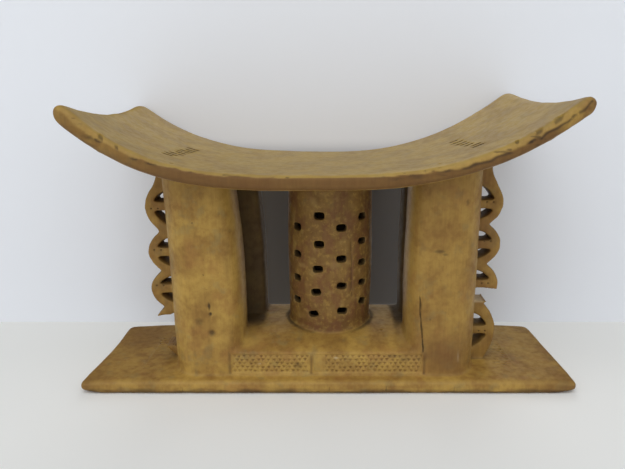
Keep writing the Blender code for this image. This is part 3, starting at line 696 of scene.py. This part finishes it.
# The finished surface is thinned, most where it is flat and not where fine marks are kept.
triangles = sum(read(stool.data.polygons, "loop_total", 1, np.int32) - 2)
kept = np.flatnonzero(read(stool.data.attributes["kept"].data, "value", 1) > 0.5)
stool.vertex_groups.new(name="kept marks").add(kept.tolist(), 1.0, "REPLACE")
apply_modifier(stool, "DECIMATE", ratio=min(1.0, MOST_TRIANGLES / triangles),
               vertex_group="kept marks", invert_vertex_group=True)
stool.vertex_groups.clear()
stool.data.attributes.remove(stool.data.attributes["kept"])
points, _ = surface(stool)
points[:, 2] = np.maximum(points[:, 2], 0.0)
move_to(stool, points)
select_only(stool)
bpy.ops.object.shade_smooth()


# ---------------------------------------------------------------------- the wood and its finish
# Pale honey wood with upright grain, darkened by handling, with painted shade and a painted
# highlight in places. Grain and mottling are groups that put out masks, and the one material
# that covers the stool stains its colours by them.
def new_group(name, inputs, outputs):
    """An empty node group with named sockets, and its input and output node."""
    group = bpy.data.node_groups.new(name, "ShaderNodeTree")
    for title, kind, value in inputs:
        socket = group.interface.new_socket(title, in_out="INPUT", socket_type=kind)
        if value is not None:
            socket.default_value = value
    for title, kind in outputs:
        group.interface.new_socket(title, in_out="OUTPUT", socket_type=kind)
    return group, group.nodes.new("NodeGroupInput"), group.nodes.new("NodeGroupOutput")


def add(tree, kind, links=None, **settings):
    """Add a node, set its properties, and link or set its inputs by name or number."""
    made = tree.nodes.new(kind)
    for name, value in settings.items():
        setattr(made, name, value)
    for name, value in (links or {}).items():
        socket = made.inputs[name]
        if isinstance(value, bpy.types.NodeSocket):
            tree.links.new(value, socket)
        else:
            socket.default_value = value
    return made


def ramp(tree, value, low, high):
    """The value stretched so that low gives 0 and high gives 1."""
    return add(tree, "ShaderNodeMapRange", {0: value, 1: low, 2: high},
               interpolation_type="SMOOTHSTEP").outputs[0]


def math_node(tree, operation, first, second=0.5, third=0.5, clamp=False):
    """The result of a math node on two or three values."""
    return add(tree, "ShaderNodeMath", {0: first, 1: second, 2: third},
               operation=operation, use_clamp=clamp).outputs[0]


def mix_colour(tree, share, first, second, mode="MIX"):
    """Two colours mixed by a share."""
    made = add(tree, "ShaderNodeMix", {0: share, 6: first, 7: second}, data_type="RGBA", blend_type=mode)
    return made.outputs[2]


def stain(tree, colour, mask, strength, tint):
    """A colour with a tint laid over it, as strongly as the mask times the strength."""
    return mix_colour(tree, math_node(tree, "MULTIPLY", mask, strength), colour, tint)


def noise(tree, place, scale, detail=3.0, rough=0.55):
    """Soft noise at a place, from 0 to 1."""
    return add(tree, "ShaderNodeTexNoise", {"Vector": place, "Scale": scale, "Detail": detail,
                                            "Roughness": rough}).outputs[0]


def stretched(tree, place, scale):
    """A place with each axis scaled, which draws a pattern out along the small ones."""
    return add(tree, "ShaderNodeMapping", {0: place, 3: scale}).outputs[0]


VECTOR, FLOAT = "NodeSocketVector", "NodeSocketFloat"

# Grain: fine upright fibres with short darker pores, which show as specks on level faces.
grain_group, given, out = new_group("Upright grain", (("Place", VECTOR, None),),
                                    (("Fibres", FLOAT), ("Pores", FLOAT)))
fibres = noise(grain_group, stretched(grain_group, given.outputs[0], (1, 1, 0.07)), 420, 4, 0.6)
pores = noise(grain_group, stretched(grain_group, given.outputs[0], (1, 1, 0.16)), 900, 2, 0.5)
grain_group.links.new(fibres, out.inputs[0])
grain_group.links.new(ramp(grain_group, pores, 0.60, 0.72), out.inputs[1])

# Mottling: soft patches where hands, smoke and oil have coloured the wood unevenly.
mottle_group, given, out = new_group(
    "Handled patches", (("Place", VECTOR, None),),
    (("Broad", FLOAT), ("Small", FLOAT), ("Specks", FLOAT), ("Warm", FLOAT), ("Cool", FLOAT)))
shifted = add(mottle_group, "ShaderNodeMapping", {0: given.outputs[0], 1: (3.1, 1.7, 0.4)}).outputs[0]
patches = (
    # where, scale, detail, from, to
    (given.outputs[0], 34, 3, 0.38, 0.64),
    (given.outputs[0], 150, 4, 0.36, 0.68),
    (given.outputs[0], 430, 2, 0.63, 0.74),
    (shifted, 48, 4, 0.50, 0.68),
    (shifted, 75, 3, 0.54, 0.72),
)
for number, (where, scale, detail, low, high) in enumerate(patches):
    mottle_group.links.new(ramp(mottle_group, noise(mottle_group, where, scale, detail), low, high),
                           out.inputs[number])

HONEY = (0.430, 0.266, 0.060, 1)
HONEY_DARK = (0.248, 0.132, 0.031, 1)
SATIN = (0.352, 0.230, 0.044, 1)
SATIN_DARK = (0.262, 0.164, 0.036, 1)
BROWN_STAIN_AND_SHADE = (0.150, 0.070, 0.021, 1)
WORN_AND_HIGHLIGHT = (0.520, 0.360, 0.110, 1)
RUSSET = (0.270, 0.120, 0.036, 1)
OLIVE = (0.235, 0.180, 0.070, 1)
REDDENED = (0.170, 0.066, 0.028, 1)
DIRT_AND_SHADE_DARK = (0.040, 0.026, 0.015, 1)
FRESH = (0.640, 0.520, 0.330, 1)

wood = bpy.data.materials.new("honey wood")
wood.use_nodes = True
tree = wood.node_tree
shader = tree.nodes["Principled BSDF"]
shader.inputs["Specular IOR Level"].default_value = 0.2
place = add(tree, "ShaderNodeTexCoord").outputs["Object"]
layer = {name: add(tree, "ShaderNodeAttribute", attribute_name=name).outputs["Fac"]
         for name in LAYERS if name != "kept"}
grain = add(tree, "ShaderNodeGroup", node_tree=grain_group)
mottle = add(tree, "ShaderNodeGroup", node_tree=mottle_group)
for made in (grain, mottle):
    tree.links.new(place, made.inputs[0])

patchy = math_node(tree, "MULTIPLY", mottle.outputs["Small"], 0.36)
patchy = math_node(tree, "MULTIPLY_ADD", mottle.outputs["Broad"], 0.62, patchy)
honey = mix_colour(tree, patchy, HONEY, HONEY_DARK)
honey = stain(tree, honey, mottle.outputs["Warm"], 0.36, RUSSET)
honey = stain(tree, honey, mottle.outputs["Cool"], 0.40, OLIVE)
satin = stain(tree, SATIN, mottle.outputs["Broad"], 0.7, SATIN_DARK)
satin = stain(tree, satin, mottle.outputs["Cool"], 0.30, OLIVE)
colour = mix_colour(tree, layer["polish"], honey, satin)
colour = stain(tree, colour, layer["brown"], 0.9, BROWN_STAIN_AND_SHADE)

# Smoke has reddened the column in patches, and its dark skin flakes off in specks.
flaking = ramp(tree, noise(tree, place, 240, 3, 0.6), 0.52, 0.66)
flaking = math_node(tree, "MULTIPLY", flaking, layer["smoky"])
colour = stain(tree, colour, flaking, 0.42, HONEY)
reddened = ramp(tree, noise(tree, stretched(tree, place, (1, 1, 0.6)), 95, 4, 0.6), 0.47, 0.62)
reddened = math_node(tree, "MULTIPLY", reddened, layer["smoky"])
colour = stain(tree, colour, reddened, 0.55, REDDENED)

# Fibres lighten and darken the wood by turns, less on the polished and the level faces.
fibre_pull = math_node(tree, "MULTIPLY_ADD", layer["polish"], -0.14, 0.36)
fibre_pull = math_node(tree, "MULTIPLY_ADD", layer["level"], -0.18, fibre_pull)
fibre_shade = math_node(tree, "MULTIPLY_ADD", grain.outputs["Fibres"], fibre_pull, 1.0)
fibre_shade = math_node(tree, "MULTIPLY_ADD", fibre_pull, -0.5, fibre_shade)
colour = mix_colour(tree, 1.0, colour, fibre_shade, "MULTIPLY")
upright = math_node(tree, "MULTIPLY_ADD", layer["level"], -0.75, 1.0)
pores = math_node(tree, "MULTIPLY", grain.outputs["Pores"], 0.16)
colour = stain(tree, colour, pores, upright, BROWN_STAIN_AND_SHADE)
colour = stain(tree, colour, mottle.outputs["Specks"], 0.22, BROWN_STAIN_AND_SHADE)
# Wear also carries a painted highlight along the seat's top edge; the dirt layer and the brown stain
# also carry painted shade.
colour = stain(tree, colour, layer["wear_and_highlight"], 0.55, WORN_AND_HIGHLIGHT)
colour = stain(tree, colour, layer["dirt_and_shade"], 0.92, DIRT_AND_SHADE_DARK)
colour = mix_colour(tree, layer["fresh"], colour, FRESH)
tree.links.new(colour, shader.inputs["Base Color"])

# Polished and worn wood shines a little more, and dirt and painted shade take the sheen away.
sheen_loss = math_node(tree, "MULTIPLY_ADD", mottle.outputs["Small"], 0.12, 0.46)
sheen_loss = math_node(tree, "MULTIPLY_ADD", layer["polish"], -0.04, sheen_loss)
sheen_loss = math_node(tree, "MULTIPLY_ADD", layer["wear_and_highlight"], -0.06, sheen_loss)
sheen_loss = math_node(tree, "MULTIPLY_ADD", layer["dirt_and_shade"], 0.25, sheen_loss, clamp=True)
tree.links.new(sheen_loss, shader.inputs["Roughness"])

# The finest relief: raised fibres, open pores, and the knife's facets on the seat's band.
pared = noise(tree, stretched(tree, place, (0.10, 1, 1)), 700, 2, 0.5)
pared = math_node(tree, "MULTIPLY", pared, layer["paring"])
relief = math_node(tree, "MULTIPLY", grain.outputs["Fibres"], upright)
relief = math_node(tree, "MULTIPLY_ADD", mottle.outputs["Small"], 0.35, relief)
relief = math_node(tree, "MULTIPLY_ADD", grain.outputs["Pores"], -0.30, relief)
relief = math_node(tree, "MULTIPLY_ADD", pared, 1.2, relief)
bump = add(tree, "ShaderNodeBump", {"Strength": 0.55, "Distance": 0.0003, "Height": relief})
tree.links.new(bump.outputs[0], shader.inputs["Normal"])

stool.data.materials.clear()
stool.data.materials.append(wood)
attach(stool, "root")
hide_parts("stool")


# ---------------------------------------------------------------------- the setting
# A plain pale floor and a wall close behind that shows from the front only, with a painted
# shadow behind the stool, lit by a large soft lamp above the front and weaker ones from the
# sides and from behind.
FLOOR_SIZE = 6.0
WALL_PLACE = 0.1115
FLOOR_PALE = (0.92, 0.93, 0.91, 1)
WALL_PALE, WALL_PAINTED_SHADOW = (0.80, 0.82, 0.86, 1), (0.22, 0.23, 0.25, 1)
# The painted shadow on the wall behind the stool: its reach sideways, its top, and its foot.
SHADE_SIDE, SHADE_TOP, SHADE_FOOT = (0.120, 0.175), (0.205, 0.245), (0.030, 0.0)
SEEN_ROOM, LIGHT_ROOM, DARK_ROOM = 0.68, 0.85, 0.12
bpy.ops.object.select_all(action="DESELECT")
bpy.ops.mesh.primitive_plane_add(size=FLOOR_SIZE, location=(0, 0, 0))
floor = bpy.context.object
floor.name = "floor"
paper = bpy.data.materials.new("floor paper")
paper.use_nodes = True
paper_shader = paper.node_tree.nodes["Principled BSDF"]
paper_shader.inputs["Base Color"].default_value = FLOOR_PALE
paper_shader.inputs["Roughness"].default_value = 0.7
floor.data.materials.append(paper)

bpy.ops.mesh.primitive_plane_add(size=FLOOR_SIZE, location=(0, WALL_PLACE, FLOOR_SIZE / 2),
                                 rotation=(math.radians(90), 0, 0))
wall = bpy.context.object
wall.name = "wall"
bpy.ops.object.transform_apply()
plaster = bpy.data.materials.new("wall paint")
plaster.use_nodes = True
plaster_tree = plaster.node_tree
plaster_shader = plaster_tree.nodes["Principled BSDF"]
wall_place = add(plaster_tree, "ShaderNodeTexCoord").outputs["Object"]
# The wall's colour is darkened in a soft-edged patch behind the stool: a painted shadow.
wall_axes = add(plaster_tree, "ShaderNodeSeparateXYZ", {0: wall_place})
sideways = math_node(plaster_tree, "ABSOLUTE", wall_axes.outputs["X"])
shade = ramp(plaster_tree, sideways, *SHADE_SIDE)
for limits in (SHADE_TOP, SHADE_FOOT):
    over = ramp(plaster_tree, wall_axes.outputs["Z"], *limits)
    shade = math_node(plaster_tree, "MAXIMUM", shade, over)
paint_colour = mix_colour(plaster_tree, shade, WALL_PAINTED_SHADOW, WALL_PALE)
plaster_tree.links.new(paint_colour, plaster_shader.inputs["Base Color"])
plaster_shader.inputs["Roughness"].default_value = 0.9
# The wall is met only by what the camera sees from its front. Light passes through it.
seen = add(plaster_tree, "ShaderNodeLightPath").outputs["Is Camera Ray"]
behind = add(plaster_tree, "ShaderNodeNewGeometry").outputs["Backfacing"]
shown = math_node(plaster_tree, "SUBTRACT", seen, behind, clamp=True)
clear = add(plaster_tree, "ShaderNodeBsdfTransparent").outputs[0]
one_way = add(plaster_tree, "ShaderNodeMixShader",
              {0: shown, 1: clear, 2: plaster_shader.outputs[0]})
plaster_tree.links.new(one_way.outputs[0], plaster_tree.nodes["Material Output"].inputs[0])
wall.data.materials.append(plaster)

# The room's light comes from the front. The camera sees an even pale grey in its place.
scene = bpy.context.scene
scene.view_settings.view_transform = "Standard"
world = bpy.data.worlds.new("soft room")
scene.world = world
world.use_nodes = True
sky = world.node_tree.nodes["Background"]
sky.inputs["Color"].default_value = (0.95, 0.97, 1.0, 1)
seen = add(world.node_tree, "ShaderNodeLightPath").outputs["Is Camera Ray"]
direction = add(world.node_tree, "ShaderNodeTexCoord").outputs["Generated"]
depthwise = add(world.node_tree, "ShaderNodeSeparateXYZ", {0: direction}).outputs["Y"]
room = add(world.node_tree, "ShaderNodeMapRange", {0: depthwise, 1: -0.35, 2: 0.45, 3: LIGHT_ROOM,
                                                   4: DARK_ROOM}).outputs[0]
extra = math_node(world.node_tree, "SUBTRACT", SEEN_ROOM, room)
strength = math_node(world.node_tree, "MULTIPLY_ADD", seen, extra, room)
world.node_tree.links.new(strength, sky.inputs["Strength"])

LAMPS = (
    # name, place, size, power
    ("front lamp", (-0.5, -1.6, 2.2), 2.0, 19),
    ("left lamp", (-2.2, -0.6, 1.4), 1.4, 3),
    ("right lamp", (2.2, -0.2, 1.6), 1.4, 3),
    ("back lamp", (0.3, 2.2, 2.0), 2.0, 17),
)
for name, place, size, power in LAMPS:
    light = bpy.data.lights.new(name, "AREA")
    light.size = size
    light.energy = power
    lamp = bpy.data.objects.new(name, light)
    scene.collection.objects.link(lamp)
    lamp.location = place
    lamp.rotation_euler = (Vector((0, 0, 0.12)) - lamp.location).to_track_quat("-Z", "Y").to_euler()

CAMERA_PLACE, VIEW_TILT = (0, -0.5934, 0.290), 13.5
LENS, SIDE_SHIFT = 32.26, -0.0256
camera_data = bpy.data.cameras.new("camera")
camera_data.sensor_width = 36
camera_data.lens = LENS
camera_data.shift_x = SIDE_SHIFT
camera = bpy.data.objects.new("camera", camera_data)
scene.collection.objects.link(camera)
camera.location = CAMERA_PLACE
camera.rotation_euler = (math.radians(90 - VIEW_TILT), 0, 0)
scene.camera = camera
